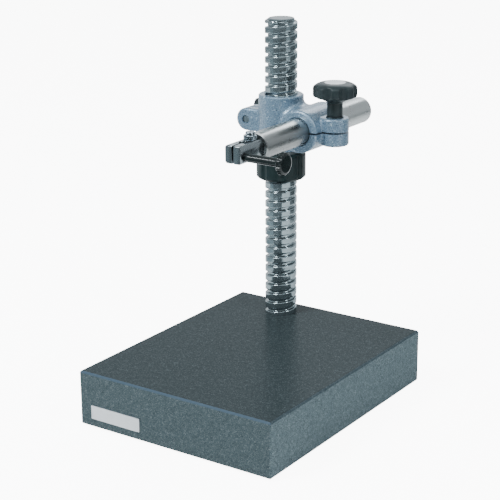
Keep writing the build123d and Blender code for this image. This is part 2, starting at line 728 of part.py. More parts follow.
# Long-necked knob on the stud, so that fingers reach it beside the gauge
stem_knob_flare = stem_knob_gap + stem_neck_length
stem_knob_rim = stem_knob_flare + stem_flare_length
stem_knob_crown = stem_knob_rim + stem_rim_length
stem_knob_end = stem_knob_crown + stem_crown_length
with BuildPart() as stem_knob:
    with BuildSketch(stem_screw_plane.offset(stem_knob_flare)):
        Circle(stem_head_radius)
        with PolarLocations(stem_head_radius + stem_grip_radius - stem_grip_depth, stem_grips):
            Circle(stem_grip_radius, mode=Mode.SUBTRACT)
    extrude(amount=stem_knob_end - stem_knob_flare)
    with BuildSketch(Plane(stem_screw_plane.origin, x_dir=(0, 1, 0), z_dir=(0, 0, -1))):
        with BuildLine():
            Polyline(
                (0, stem_knob_flare),
                (stem_neck_radius, stem_knob_flare),
                (stem_head_radius, stem_knob_rim),
                (stem_head_radius, stem_knob_crown),
                (stem_head_radius - 2 * stem_crown_length, stem_knob_end),
                (0, stem_knob_end),
                close=True)
        make_face()
    revolve(axis=Axis(stem_screw_plane.origin, stem_screw_plane.z_dir), mode=Mode.INTERSECT)
    with BuildSketch(stem_screw_plane.offset(stem_knob_gap)):
        Circle(stem_neck_radius)
    extrude(amount=stem_neck_length)
    with BuildSketch(stem_screw_plane.offset(stem_knob_gap)):
        Circle(stem_stud_radius + stem_stud_clearance)
    extrude(amount=stem_stud_in_knob, mode=Mode.SUBTRACT)
stem_knob.part.label = "stem_knob"
export_step(stem_knob.part, "parts/stem_knob.step")
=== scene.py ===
"""Comparator stand: finishes, finely formed pieces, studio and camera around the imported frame."""

import json
import logging
import math
from dataclasses import dataclass
from enum import Enum
from typing import Callable, Sequence

import bmesh
import bpy
from mathutils import Matrix, Vector


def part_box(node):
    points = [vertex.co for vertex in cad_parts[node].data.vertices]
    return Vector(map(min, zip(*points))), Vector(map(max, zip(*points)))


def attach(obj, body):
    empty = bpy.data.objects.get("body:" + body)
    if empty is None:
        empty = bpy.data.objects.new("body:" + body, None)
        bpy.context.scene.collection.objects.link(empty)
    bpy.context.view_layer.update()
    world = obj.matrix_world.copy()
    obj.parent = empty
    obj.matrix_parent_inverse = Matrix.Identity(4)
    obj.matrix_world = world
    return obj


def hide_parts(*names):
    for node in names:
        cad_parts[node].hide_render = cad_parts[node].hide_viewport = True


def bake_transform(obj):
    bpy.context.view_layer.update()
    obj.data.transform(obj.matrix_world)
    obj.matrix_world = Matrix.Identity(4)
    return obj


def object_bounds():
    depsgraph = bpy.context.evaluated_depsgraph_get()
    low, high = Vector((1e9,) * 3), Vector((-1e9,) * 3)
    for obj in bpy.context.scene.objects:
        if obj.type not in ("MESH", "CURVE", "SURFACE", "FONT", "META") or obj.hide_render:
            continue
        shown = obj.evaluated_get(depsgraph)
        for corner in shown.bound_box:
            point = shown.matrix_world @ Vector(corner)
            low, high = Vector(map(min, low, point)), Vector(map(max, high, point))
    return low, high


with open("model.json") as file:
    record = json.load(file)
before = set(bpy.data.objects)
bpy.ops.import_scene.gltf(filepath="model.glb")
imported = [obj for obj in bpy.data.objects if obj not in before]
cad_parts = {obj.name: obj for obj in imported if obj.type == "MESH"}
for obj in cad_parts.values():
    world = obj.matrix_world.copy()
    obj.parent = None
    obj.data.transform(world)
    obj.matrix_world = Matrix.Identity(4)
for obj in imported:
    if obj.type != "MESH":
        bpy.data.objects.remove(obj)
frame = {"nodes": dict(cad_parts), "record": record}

CAD_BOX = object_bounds()
LOG = logging.getLogger("comparator_stand")

FULL_TURN = 2.0 * math.pi
WELD = 2e-6
TINY = 1e-7
ROUND_STEPS = 5
SHADE_PLACES = (0.3, 0.7)

Pair = tuple[float, float]
Triple = tuple[float, float, float]
Color = Triple
Outline = Sequence[Pair]
Mesh = bpy.types.Mesh
Object = bpy.types.Object
Material = bpy.types.Material
Group = bpy.types.NodeTree
Socket = bpy.types.NodeSocket


class Lay(Enum):
    """Direction in which a machined surface's fine lines run: features per metre on each axis."""

    ROUND_Z = (60.0, 60.0, 4200.0)
    ROUND_Y = (60.0, 4200.0, 60.0)
    ALONG_Y = (2600.0, 70.0, 2600.0)
    NONE = (900.0, 900.0, 900.0)


def operator(operation: str) -> Callable[["Wire", "Wire | float"], "Wire"]:
    """Python operator on a wire and a wire or a number, made by a math node."""
    return lambda wire, other: wire.tree.math(operation, wire, other)


@dataclass(frozen=True)
class Wire:
    """An output in a node tree. Arithmetic on it adds math nodes."""

    tree: "NodeTree"
    socket: Socket

    __add__ = operator("ADD")
    __sub__ = operator("SUBTRACT")
    __mul__ = operator("MULTIPLY")
    __truediv__ = operator("DIVIDE")


class NodeTree:
    """A node tree, with short calls for the nodes that shaders and geometry share."""

    def __init__(self, tree: Group) -> None:
        """Keep the tree to add nodes to."""
        self.tree = tree

    def feed(self, target: Socket, value: object) -> None:
        """Feed an input.

        Args:
            target: the input's socket.
            value: a wire or a constant.
        """
        if isinstance(value, Wire):
            self.tree.links.new(value.socket, target)
        else:
            target.default_value = value

    def add(self, kind: str, **values: object) -> bpy.types.Node:
        """Add a node.

        Args:
            kind: the node's type.
            values: its options in lower case, and wires or constants for its inputs, which are
                named with underscores for spaces.

        Returns:
            The node.
        """
        node = self.tree.nodes.new(kind)
        for key, value in values.items():
            if key.islower():
                setattr(node, key, value)
            else:
                self.feed(node.inputs[key.replace("_", " ")], value)
        return node

    def wire(self, kind: str, output: str, **values: object) -> Wire:
        """One output, by its name, of a new node that is set up as by add."""
        return Wire(self, self.add(kind, **values).outputs[output])

    def math(self, operation: str, *values: object) -> Wire:
        """Add a math node.

        Args:
            operation: what it does.
            values: up to three wires or numbers.

        Returns:
            Its result.
        """
        node = self.add("ShaderNodeMath", operation=operation)
        for target, value in zip(node.inputs, values):
            self.feed(target, value)
        return Wire(self, node.outputs[0])

    def remap(self, value: Wire, low: float, high: float, start: float, end: float) -> Wire:
        """Value mapped from low..high to start..end and clamped."""
        return self.wire("ShaderNodeMapRange", "Result", Value=value, From_Min=low, From_Max=high,
                         To_Min=start, To_Max=end)

    def split(self, vector: Wire, axes: str = "XYZ") -> list[Wire]:
        """Components of a vector, in the order of the axes' letters."""
        parts = self.add("ShaderNodeSeparateXYZ", Vector=vector)
        return [Wire(self, parts.outputs[axis]) for axis in axes]


class ShaderTree(NodeTree):
    """A material's nodes around a principled shader."""

    def __init__(self, name: str) -> None:
        """Start a material.

        Args:
            name: the material's name.
        """
        self.material = bpy.data.materials.new(name)
        self.material.use_nodes = True
        super().__init__(self.material.node_tree)
        self.tree.nodes.clear()
        self.shader = self.add("ShaderNodeBsdfPrincipled")
        self.add("ShaderNodeOutputMaterial", Surface=Wire(self, self.shader.outputs["BSDF"]))
        self.place = self.wire("ShaderNodeTexCoord", "Object")
        self.normal = self.wire("ShaderNodeNewGeometry", "Normal")

    def surface(self, **values: object) -> None:
        """Feed the shader's own sockets, named with underscores for spaces."""
        for key, value in values.items():
            self.feed(self.shader.inputs[key.replace("_", " ")], value)

    def stretched(self, scale: float | Triple) -> Wire:
        """Object coordinates scaled by one factor, or by one for each axis."""
        factors = scale if isinstance(scale, tuple) else (scale, scale, scale)
        return self.wire("ShaderNodeMapping", "Vector", Vector=self.place, Scale=factors)

    def noise(self, scale: float | Triple, detail: float = 3.0, rough: float = 0.55) -> Wire:
        """Fractal noise: features per metre, number of finer layers and their weight."""
        return self.wire("ShaderNodeTexNoise", "Fac", Vector=self.stretched(scale), Scale=1.0,
                         Detail=detail, Roughness=rough)

    def cells(self, scale: float, output: str, feature: str = "F1") -> Wire:
        """An output of Voronoi cells, so many per metre. SMOOTH_F1 rounds their borders."""
        return self.wire("ShaderNodeTexVoronoi", output, feature=feature, Scale=1.0,
                         Vector=self.stretched(scale))

    def ramp(self, factor: Wire, places: Sequence[float], tones: Sequence[Color]) -> Wire:
        """Color ramp.

        Args:
            factor: where on the ramp to read.
            places: where each tone stands.
            tones: the tones; with three on four places, the middle one stands on two of them.

        Returns:
            The color.
        """
        if len(tones) < len(places):
            tones = (tones[0], tones[1], *tones[1:])
        node = self.add("ShaderNodeValToRGB", Fac=factor)
        elements = node.color_ramp.elements
        while len(elements) < len(places):
            elements.new(0.5)
        for element, place, tone in zip(elements, places, tones):
            element.position = place
            element.color = (*tone, 1.0)
        return Wire(self, node.outputs["Color"])

    def shades(self, factor: Wire, tone: Color, low: float, high: float) -> Wire:
        """Tone that runs from a low to a high multiple of itself."""
        ends = [tuple(min(1.0, channel * share) for channel in tone) for share in (low, high)]
        return self.ramp(factor, SHADE_PLACES, ends)

    def mix(self, factor: Wire, first: Wire, second: Wire | Color) -> Wire:
        """Mix two colors.

        Args:
            factor: share of the second one.
            first: the first color.
            second: the second color, a wire or a constant.

        Returns:
            The mixed color.
        """
        node = self.add("ShaderNodeMix", data_type="RGBA", Factor=factor)
        self.feed(node.inputs[6], first)
        self.feed(node.inputs[7], second if isinstance(second, Wire) else (*second, 1.0))
        return Wire(self, node.outputs[2])

    def bump(self, height: Wire, distance: float, strength: float) -> None:
        """Raise the surface by a height from 0 to 1 times a distance in metres and a strength."""
        self.surface(Normal=self.wire("ShaderNodeBump", "Normal", Height=height,
                                      Distance=distance, Strength=strength))


@dataclass(frozen=True)
class GraniteFinish:
    """Fine-grained granite: honed on top, sawn and paler on the sides, the right side paler still
    by painted light, and a painted highlight on the bevels, strongest on the front ones.
    """

    name: str = "granite"
    honed: tuple[Color, ...] = (
        (0.015, 0.021, 0.023), (0.0265, 0.036, 0.0385), (0.09, 0.112, 0.12))
    honed_places: tuple[float, ...] = (0.16, 0.4, 0.64, 0.92)
    sawn: tuple[Color, ...] = (
        (0.045, 0.068, 0.077), (0.103, 0.14, 0.153), (0.23, 0.28, 0.295))
    sawn_places: tuple[float, ...] = (0.2, 0.42, 0.62, 0.85)
    # painted highlight on the bevels, strongest on the front ones
    arris: Color = (0.055, 0.085, 0.117)
    grain: float = 1650.0
    grain_share: float = 0.55
    cloud: float = 240.0
    cloud_share: float = 0.45
    side_slope: Pair = (0.25, 0.9)
    # the sides take the sawn tone; the side facing right takes more of it than the front, as
    # painted light
    ground_turn: Pair = (0.2, 0.9)
    ground_shares: Pair = (0.42, 1.0)
    bevel_slope: float = 0.7
    bevel_band: Pair = (0.1, 0.2)
    # how the painted bevel highlight fades from the front bevels (strong) to the others (faint)
    arris_turn: Pair = (-0.6, -0.2)
    arris_shares: Pair = (0.8, 0.15)
    roughness: Pair = (0.26, 0.6)
    gloss: float = 0.025
    tooth: float = 2600.0
    relief: float = 0.00003
    relief_share: float = 0.5

    def material(self) -> Material:
        """Build the granite.

        Returns:
            The finished material.
        """
        tree = ShaderTree(self.name)
        crystals, = tree.split(tree.cells(self.grain, "Color"), "X")
        clouds = tree.noise(self.cloud, 6.0, 0.7)
        speckle = crystals * self.grain_share + clouds * self.cloud_share
        honed = tree.ramp(speckle, self.honed_places, self.honed)
        sawn = tree.ramp(speckle, self.sawn_places, self.sawn)
        right, back, up = tree.split(tree.normal)
        side = tree.remap(tree.math("ABSOLUTE", up), *self.side_slope, 1.0, 0.0)
        # sawn tone on the sides, raised on the side facing right by painted light
        sawn_and_right_light = tree.remap(right, *self.ground_turn, *self.ground_shares)
        stone = tree.mix(side * sawn_and_right_light, honed, sawn)
        # painted highlight: the bevels take a pale tone, mostly the front ones
        off_bevel = tree.math("ABSOLUTE", up - self.bevel_slope)
        bevel_highlight_facing = tree.remap(back, *self.arris_turn, *self.arris_shares)
        edge = tree.remap(off_bevel, *self.bevel_band, 1.0, 0.0) * bevel_highlight_facing
        tree.surface(Base_Color=tree.mix(edge, stone, self.arris), Specular_IOR_Level=self.gloss,
                     Roughness=tree.remap(side, 0.0, 1.0, *self.roughness))
        tree.bump(tree.noise(self.tooth, 2.0), self.relief, self.relief_share)
        return tree.material


@dataclass(frozen=True)
class HammerPaintFinish:
    """Blue-grey hammer paint on a casting: fine dimples, soft gloss and a metal sparkle."""

    name: str = "hammer_paint"
    tones: tuple[Color, ...] = (
        (0.028, 0.048, 0.073), (0.136, 0.215, 0.297), (0.58, 0.74, 0.87))
    places: tuple[float, ...] = (0.3, 0.5, 0.72, 1.0)
    dimple: float = 780.0
    dimple_share: float = 0.7
    drift: float = 420.0
    drift_share: float = 0.6
    sparkle: float = 2400.0
    sparkle_from: float = 0.8
    sparkle_share: float = 0.25
    roughness: Pair = (0.24, 0.36)
    metal: float = 0.35
    coat: float = 0.65
    coat_roughness: float = 0.12
    relief: float = 0.0007
    relief_share: float = 0.8

    def material(self) -> Material:
        """Build the hammer paint.

        Returns:
            The finished material.
        """
        tree = ShaderTree(self.name)
        dimples = tree.cells(self.dimple, "Distance", "SMOOTH_F1") * self.dimple_share
        height = dimples + tree.noise(self.drift, 5.0, 0.65) * self.drift_share
        flake, = tree.split(tree.cells(self.sparkle, "Color"), "X")
        bright = tree.remap(flake, self.sparkle_from, 1.0, 0.0, self.sparkle_share)
        paint = tree.mix(bright, tree.ramp(height, self.places, self.tones), self.tones[-1])
        tree.surface(Base_Color=paint, Roughness=tree.remap(flake, 0.0, 1.0, *self.roughness),
                     Metallic=self.metal, Coat_Weight=self.coat, Coat_Roughness=self.coat_roughness)
        tree.bump(height, self.relief, self.relief_share)
        return tree.material


@dataclass(frozen=True)
class SteelFinish:
    """Bare or plated steel with fine machining lines.

    The tone can change by painted light, each by a lift over a range: a painted reflection lightens
    it toward the stand's rear, a place along Y; faces that look up, by the normal's upward part,
    get a painted highlight where the lift is above one and painted shade where it is below.
    """

    name: str
    tone: Color
    rough: float
    lay: Lay = Lay.NONE
    relief: float = 0.000006
    variation: float = 0.12
    metal: float = 1.0
    # painted reflection: lift of the tone toward the stand's rear
    rear_lift: float = 1.0
    rear_range: Pair = (0.088, 0.112)
    # painted light on faces that look up: a highlight where the lift is above one, painted shade
    # below
    face_lift: float = 1.0
    face_range: Pair = (0.9, 0.99)
    stain: float = 70.0
    line_share: float = 0.6
    stain_share: float = 0.4
    rough_spread: Pair = (0.85, 1.2)
    relief_share: float = 0.6

    def material(self) -> Material:
        """Build the steel.

        Returns:
            The finished material.
        """
        tree = ShaderTree(self.name)
        lines = tree.noise(self.lay.value, 3.0, 0.7)
        stain = tree.noise(self.stain, 4.0)
        shade = lines * self.line_share + stain * self.stain_share
        tone = self.lifted(tree, shade, 1.0)
        # painted reflection toward the rear; on faces that look up, a painted highlight above one
        # and painted shade below
        for lift, source, axis, span in (
                (self.rear_lift, tree.place, "Y", self.rear_range),
                (self.face_lift, tree.normal, "Z", self.face_range)):
            if lift != 1.0:
                share = tree.remap(tree.split(source, axis)[0], *span, 0.0, 1.0)
                tone = tree.mix(share, tone, self.lifted(tree, shade, lift))
        low, high = (self.rough * spread for spread in self.rough_spread)
        tree.surface(Base_Color=tone, Metallic=self.metal,
                     Roughness=tree.remap(stain, *SHADE_PLACES, low, high))
        tree.bump(lines, self.relief, self.relief_share)
        return tree.material

    def lifted(self, tree: ShaderTree, shade: Wire, lift: float) -> Wire:
        """Tone times a lift, varied by a shade."""
        dim, lit = (lift * (1.0 + change) for change in (-self.variation, self.variation))
        return tree.shades(shade, self.tone, dim, lit)


@dataclass(frozen=True)
class PlasticFinish:
    """Moulded plastic, rubber or blackened steel with a fine grain."""

    name: str
    tone: Color
    rough: float
    grain: float = 2200.0
    relief: float = 0.00003
    coat: float = 0.0
    shine: float = 0.5
    mottle: float = 120.0
    tone_spread: Pair = (0.8, 1.2)
    rough_spread: Pair = (0.9, 1.12)
    coat_roughness: float = 0.12
    relief_share: float = 0.5

    def material(self) -> Material:
        """Build the plastic.

        Returns:
            The finished material.
        """
        tree = ShaderTree(self.name)
        mottle = tree.noise(self.mottle, 3.0)
        low, high = (self.rough * spread for spread in self.rough_spread)
        tree.surface(Base_Color=tree.shades(mottle, self.tone, *self.tone_spread),
                     Roughness=tree.remap(mottle, *SHADE_PLACES, low, high), Coat_Weight=self.coat,
                     Coat_Roughness=self.coat_roughness, Specular_IOR_Level=self.shine)
        tree.bump(tree.noise(self.grain, 3.0), self.relief, self.relief_share)
        return tree.material


FINISHES = (
    GraniteFinish(),
    HammerPaintFinish(),
    SteelFinish("plate_metal", (0.72, 0.74, 0.76), 0.34, Lay.ALONG_Y),
    # column: painted shade dims its faces that look up
    SteelFinish("column_steel", (0.3, 0.36, 0.38), 0.14, Lay.ROUND_Z, 0.000002, metal=0.9,
                face_lift=0.42),
    # bar: a painted reflection lightens its rear, a painted highlight its upper side
    SteelFinish("bar_steel", (0.335, 0.348, 0.345), 0.28, Lay.ROUND_Y, 0.0000004, 0.05,
                rear_lift=1.75, face_lift=1.5, face_range=(0.3, 0.8)),
    SteelFinish("holder_steel", (0.29, 0.33, 0.345), 0.2, Lay.NONE, 0.000008),
    SteelFinish("screw_chrome", (0.36, 0.42, 0.46), 0.08, Lay.NONE, 0.000002),
    SteelFinish("washer_steel", (0.09, 0.105, 0.11), 0.35, Lay.ROUND_Z),
    SteelFinish("bolt_steel", (0.34, 0.4, 0.43), 0.25),
    PlasticFinish("foot_rubber", (0.02, 0.02, 0.021), 0.7),
    PlasticFinish("nut_black", (0.012, 0.023, 0.0235), 0.3, 1100.0, 0.00005, shine=0.17),
    PlasticFinish("knob_plastic", (0.018, 0.027, 0.029), 0.34, 2600.0, 0.00002, shine=0.25),
    PlasticFinish("cap_plastic", (0.95, 0.96, 0.96), 0.18, 1200.0, 0.000006, coat=0.9),
    PlasticFinish("stem_knob_black", (0.004, 0.008, 0.008), 0.13, 900.0, 0.000002, shine=0.45),
)


class Graph(NodeTree):
    """A geometry node group with named inputs."""

    def __init__(self, name: str) -> None:
        """Start a group that takes and gives a geometry.

        Args:
            name: the group's name.
        """
        super().__init__(bpy.data.node_groups.new(name, "GeometryNodeTree"))
        self.declare("Geometry", "INPUT", "Geometry")
        self.declare("Geometry", "OUTPUT", "Geometry")
        self.entry = self.add("NodeGroupInput")
        self.exit = self.add("NodeGroupOutput")

    def declare(self, name: str, side: str, kind: str) -> None:
        """Add an input or an output to the group's interface."""
        self.tree.interface.new_socket(name=name, in_out=side, socket_type=f"NodeSocket{kind}")

    def ask(self, *names: str, kind: str = "Float") -> list[Wire]:
        """Add named inputs.

        Args:
            names: the inputs' names.
            kind: what they hold.

        Returns:
            The inputs inside the group.
        """
        for name in names:
            self.declare(name, "INPUT", kind)
        return [Wire(self, self.entry.outputs[name]) for name in names]

    def place(self) -> list[Wire]:
        """Components of each point's position."""
        return self.split(self.wire("GeometryNodeInputPosition", "Position"))

    def curve(self, value: Wire, heights: Sequence[float]) -> Wire:
        """Value read off a polyline with evenly spaced corners.

        Args:
            value: place along the polyline, from 0 to 1.
            heights: the corners' heights.

        Returns:
            The value.
        """
        node = self.add("ShaderNodeFloatCurve", Value=value)
        points = node.mapping.curves[0].points
        while len(points) < len(heights):
            points.new(0.5, 0.5)
        for index, (point, height) in enumerate(zip(points, heights)):
            point.location = (index / (len(heights) - 1), height)
            point.handle_type = "VECTOR"
        node.mapping.update()
        return Wire(self, node.outputs[0])

    def moved(self, geometry: Wire, x: Wire, y: Wire, z: Wire) -> Wire:
        """Geometry whose points stand at new coordinates."""
        spot = self.wire("ShaderNodeCombineXYZ", "Vector", X=x, Y=y, Z=z)
        return self.wire("GeometryNodeSetPosition", "Geometry", Geometry=geometry, Position=spot)

    def close(self, geometry: Wire) -> Group:
        """End the group in Realize Instances and Set Material.

        Args:
            geometry: what the group made.

        Returns:
            The finished group, with the material as its last input.
        """
        material, = self.ask("Material", kind="Material")
        real = self.wire("GeometryNodeRealizeInstances", "Geometry", Geometry=geometry)
        dressed = self.wire("GeometryNodeSetMaterial", "Geometry", Geometry=real, Material=material)
        self.feed(self.exit.inputs["Geometry"], dressed)
        return self.tree


def placed(name: str, data: bpy.types.ID) -> Object:
    """Put data into the scene.

    Args:
        name: the object's name.
        data: its mesh, light or camera.

    Returns:
        The object.
    """
    thing = bpy.data.objects.new(name, data)
    bpy.context.scene.collection.objects.link(thing)
    return thing


def plain(carrier: Object) -> Mesh:
    """Apply an object's modifiers to a new mesh, and remove the object and its own mesh.

    Args:
        carrier: the object.

    Returns:
        The plain mesh.
    """
    graph = bpy.context.evaluated_depsgraph_get()
    mesh = bpy.data.meshes.new_from_object(carrier.evaluated_get(graph))
    blank = carrier.data
    bpy.data.objects.remove(carrier)
    bpy.data.meshes.remove(blank)
    return mesh


def sizes(piece: object) -> dict[str, object]:
    """A dataclass's fields under the names of a node group's inputs."""
    return {name.replace("_", " ").title(): value for name, value in vars(piece).items()}


def lathe(outline: Outline, around: int) -> Mesh:
    """Turn an outline about the Z axis.

    Args:
        outline: radius and height of each point, closed on the axis or on itself.
        around: number of steps round the axis.

    Returns:
        The turned mesh, closed where the outline is.
    """
    build = bmesh.new()
    turns = [FULL_TURN * step / around for step in range(around)]
    rings = []
    for radius, height in outline:
        ring = [(radius * math.cos(turn), radius * math.sin(turn), height)
                for turn in (turns if radius >= TINY else turns[:1])]
        rings.append([build.verts.new(corner) for corner in ring])
    for lower, upper in zip(rings, rings[1:]):
        for step in range(around):
            after = (step + 1) % around
            corners = [ring[turn % len(ring)] for ring, turn in (
                (lower, step), (lower, after), (upper, after), (upper, step))]
            build.faces.new(tuple(dict.fromkeys(corners)))
    bmesh.ops.remove_doubles(build, verts=build.verts, dist=TINY)
    bmesh.ops.recalc_face_normals(build, faces=build.faces)
    mesh = bpy.data.meshes.new("turned")
    build.to_mesh(mesh)
    build.free()
    return mesh


def arc(start: Vector, control: Vector, end: Vector, steps: int) -> list[Pair]:
    """Points of the parabola between two points that a third one pulls."""
    shares = [step / steps for step in range(steps + 1)]
    return [tuple(start.lerp(control, s).lerp(control.lerp(end, s), s)) for s in shares]


def quarter(steps: int) -> list[Pair]:
    """Sine, and what the cosine lacks of one, at even turns through a quarter circle."""
    turns = (math.pi / 2 * step / steps for step in range(steps + 1))
    return [(math.sin(turn), 1.0 - math.cos(turn)) for turn in turns]


def rounded(corners: Sequence[tuple[float, ...]]) -> list[Pair]:
    """Outline whose corners are rounded.

    Args:
        corners: radius and height of each point, and its rounding where it has one.

    Returns:
        The outline's points.
    """
    points: list[Pair] = []
    for index, (radius, height, *ease) in enumerate(corners):
        if not ease:
            points.append((radius, height))
            continue
        here = Vector((radius, height))
        before, after = (Vector(corners[index + side][:2]) - here for side in (-1, 1))
        start, end = (here + way.normalized() * min(ease[0], way.length / 2)
                      for way in (before, after))
        points += arc(start, here, end, ROUND_STEPS)
    return points


def refined(outline: Outline, gap: float) -> list[Pair]:
    """Add points to an outline.

    Args:
        outline: the outline's points.
        gap: largest distance that is left between two points.

    Returns:
        All points.
    """
    points = [tuple(outline[0])]
    for start, end in zip(outline, outline[1:]):
        count = max(1, math.ceil(math.dist(start, end) / gap))
        points += [tuple(a + (b - a) * step / count for a, b in zip(start, end))
                   for step in range(1, count + 1)]
    return points


def flute_group() -> Group:
    """Node group that carves evenly spaced round flutes along a turned mesh.

    Returns:
        The group, with the flutes' sizes as inputs.
    """
    graph = Graph("carve_flutes")
    count, = graph.ask("Count", kind="Int")
    radius, distance, turn, ease = graph.ask("Radius", "Centre Distance", "Turn", "Ease")
    x, y, z = graph.place()
    span = graph.math("SQRT", graph.math("MULTIPLY_ADD", x, x, y * y))
    reach = graph.math("MAXIMUM", span, 1e-6)
    half = graph.math("DIVIDE", math.pi, count)
    offset = graph.math("WRAP", graph.math("ARCTAN2", y, x) - turn, half, half * -1.0)
    across = distance * graph.math("SINE", offset)
    inside = radius * radius - across * across
    root = graph.math("SQRT", graph.math("MAXIMUM", inside, 0.0))
    wall = distance * graph.math("COSINE", offset) - root
    clear = graph.math("LESS_THAN", inside, 0.0) * (ease * 2.0)
    share = graph.math("SMOOTH_MIN", reach, wall + clear, ease) / reach
    blank = Wire(graph, graph.entry.outputs["Geometry"])
    return graph.close(graph.moved(blank, x * share, y * share, z))


def coil_group() -> Group:
    """Node group for a round-wire coil spring with its axis on Z.

    Returns:
        The group, with the coil's sizes as inputs.
    """
    graph = Graph("coil_spring")
    radius, length, turns, wire = graph.ask("Radius", "Length", "Turns", "Wire")
    steps, sides = graph.ask("Steps", "Sides", kind="Int")
    path = graph.wire("GeometryNodeCurveSpiral", "Curve", Resolution=steps, Rotations=turns,
                      Start_Radius=radius, End_Radius=radius, Height=length)
    ring = graph.wire("GeometryNodeCurvePrimitiveCircle", "Curve", Resolution=sides, Radius=wire)
    return graph.close(graph.wire("GeometryNodeCurveToMesh", "Mesh", Curve=path,
                                  Profile_Curve=ring, Fill_Caps=True))


def column_group(section: Outline) -> Group:
    """Node group for a turned column with a helical square groove.

    Args:
        section: each row's place in the pitch and depth in the groove, as shares.

    Returns:
        The group, with the column's sizes as inputs.
    """
    places, depths = zip(*section)
    graph = Graph("grooved_column")
    radius, pitch, depth, foot, top, tip, bevel, start_height, start_angle, fade, turns = graph.ask(
        "Radius", "Pitch", "Groove Depth", "Foot", "Shoulder", "Tip Radius", "End Bevel",
        "Start Height", "Start Angle", "Start Fade", "Turns")
    around, = graph.ask("Around", kind="Int")
    grid = graph.wire("GeometryNodeMeshGrid", "Mesh", Size_X=1.0, Size_Y=1.0,
                      Vertices_X=turns * around + 1.0, Vertices_Y=len(section))
    across, up, _ = graph.place()
    along = (across + 0.5) * turns
    row = up + 0.5
    rise = along + (graph.curve(row, places) - 0.5)
    base = foot - pitch
    height = graph.math("MULTIPLY_ADD", rise, pitch, base)
    lap = along + (base - start_height) / pitch
    angle = graph.math("MULTIPLY_ADD", lap, FULL_TURN, start_angle)
    opened = graph.wire("ShaderNodeClamp", "Result", Value=lap / fade)
    reach = radius - graph.curve(row, depths) * depth * opened
    over = graph.math("MAXIMUM", height - (top - bevel), 0.0)
    eased = graph.math("MINIMUM", reach, radius - over)
    past = graph.math("GREATER_THAN", height, top)
    final = past * tip + graph.math("SUBTRACT", 1.0, past) * eased
    level = graph.math("MAXIMUM", graph.math("MINIMUM", height, top), foot)
    x, y = (final * graph.math(side, angle) for side in ("COSINE", "SINE"))
    shaped = graph.moved(grid, x, y, level)
    return graph.close(graph.wire("GeometryNodeMergeByDistance", "Geometry", Geometry=shaped,
                                  Distance=WELD))


def closed(mesh: Mesh, extra: Sequence[Mesh] = ()) -> Mesh:
    """Weld extra meshes onto a mesh, close its holes and turn its faces outward.

    Args:
        mesh: the mesh, changed in place.
        extra: meshes whose borders meet its own. They are removed.

    Returns:
        The same mesh.
    """
    build = bmesh.new()
    build.from_mesh(mesh)
    for other in extra:
        build.from_mesh(other)
        bpy.data.meshes.remove(other)
    bmesh.ops.remove_doubles(build, verts=build.verts, dist=WELD)
    border = [edge for edge in build.edges if edge.is_boundary]
    if border:
        bmesh.ops.holes_fill(build, edges=border, sides=0)
    bmesh.ops.recalc_face_normals(build, faces=build.faces)
    build.to_mesh(mesh)
    build.free()
    return mesh


@dataclass(frozen=True)
class Seat:
    """Where a formed piece sits: its origin and the direction of its axis."""

    origin: Triple
    axis: Triple = (0.0, 0.0, 1.0)

    def matrix(self) -> Matrix:
        """Transform from the piece's own frame to the stand's."""
        turn = Vector(self.axis).to_track_quat("Z", "Y").to_matrix().to_4x4()
        return Matrix.Translation(self.origin) @ turn


@dataclass(frozen=True)
class Role:
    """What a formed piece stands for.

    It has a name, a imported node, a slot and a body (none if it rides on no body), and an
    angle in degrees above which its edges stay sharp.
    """

    name: str
    node: str
    slot: str
    body: str = ""
    crease: float = 34.0


@dataclass(frozen=True)
class Flutes:
    """Evenly spaced round flutes in a turned rim.

    The ease is the rounding where they meet the rim. The turned mesh has so many steps for each
    flute, and no gap along its outline is larger than the given one.
    """

    count: int
    radius: float
    depth: float
    ease: float
    steps: int
    gap: float


class Workshop:
    """Makes the formed pieces, dresses them and puts them into the scene in place of the imported
    nodes.
    """

    def __init__(self, materials: dict[str, Material]) -> None:
        """Keep the material of each slot and make the shared node group."""
        self.materials = materials
        self.flutes = flute_group()

    def hand_over(self, role: Role, mesh: Mesh, seat: Seat | None = None) -> Object:
        """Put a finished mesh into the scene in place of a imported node.

        Args:
            role: what it stands for.
            mesh: its mesh.
            seat: where it sits, unless it is already in the stand's frame.

        Returns:
            The piece.
        """
        if seat:
            mesh.transform(seat.matrix())
        mesh.name = role.name
        mesh.materials.clear()
        mesh.materials.append(self.materials[role.slot])
        mesh.polygons.foreach_set("material_index", [0] * len(mesh.polygons))
        mesh.shade_smooth()
        mesh.set_sharp_from_angle(angle=math.radians(role.crease))
        piece = placed(role.name, mesh)
        if role.body:
            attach(piece, role.body)
        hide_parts(role.node)
        LOG.info("made %s for %s, %d faces", role.name, role.node, len(mesh.polygons))
        return piece

    def grown(self, role: Role, group: Group, values: dict[str, object],
              start: Mesh | None = None) -> Mesh:
        """Run a geometry node group.

        Args:
            role: what the mesh is for.
            group: the node group.
            values: its named inputs, except the material.
            start: the mesh that it starts from, if any. It is removed.

        Returns:
            The plain mesh.
        """
        carrier = placed(role.name, start or bpy.data.meshes.new("blank"))
        modifier = carrier.modifiers.new("nodes", "NODES")
        modifier.node_group = group
        values = values | {"Material": self.materials[role.slot]}
        for socket in group.interface.items_tree:
            if socket.in_out == "INPUT" and socket.name in values:
                modifier[socket.identifier] = values[socket.name]
        return plain(carrier)

    def fluted(self, role: Role, outline: Outline, rim: float, flutes: Flutes, seat: Seat,
               turn: float = 0.0) -> None:
        """Turn an outline, carve flutes round it and hand it over.

        Args:
            role: what the piece stands for.
            outline: radius and height of each point.
            rim: radius that the flutes cut into.
            flutes: the flutes.
            seat: where the piece sits.
            turn: direction of the first flute in degrees.
        """
        values = sizes(flutes) | {"Centre Distance": rim + flutes.radius - flutes.depth,
                                  "Turn": math.radians(turn)}
        blank = lathe(refined(outline, flutes.gap), flutes.count * flutes.steps)
        self.hand_over(role, closed(self.grown(role, self.flutes, values, blank)), seat)


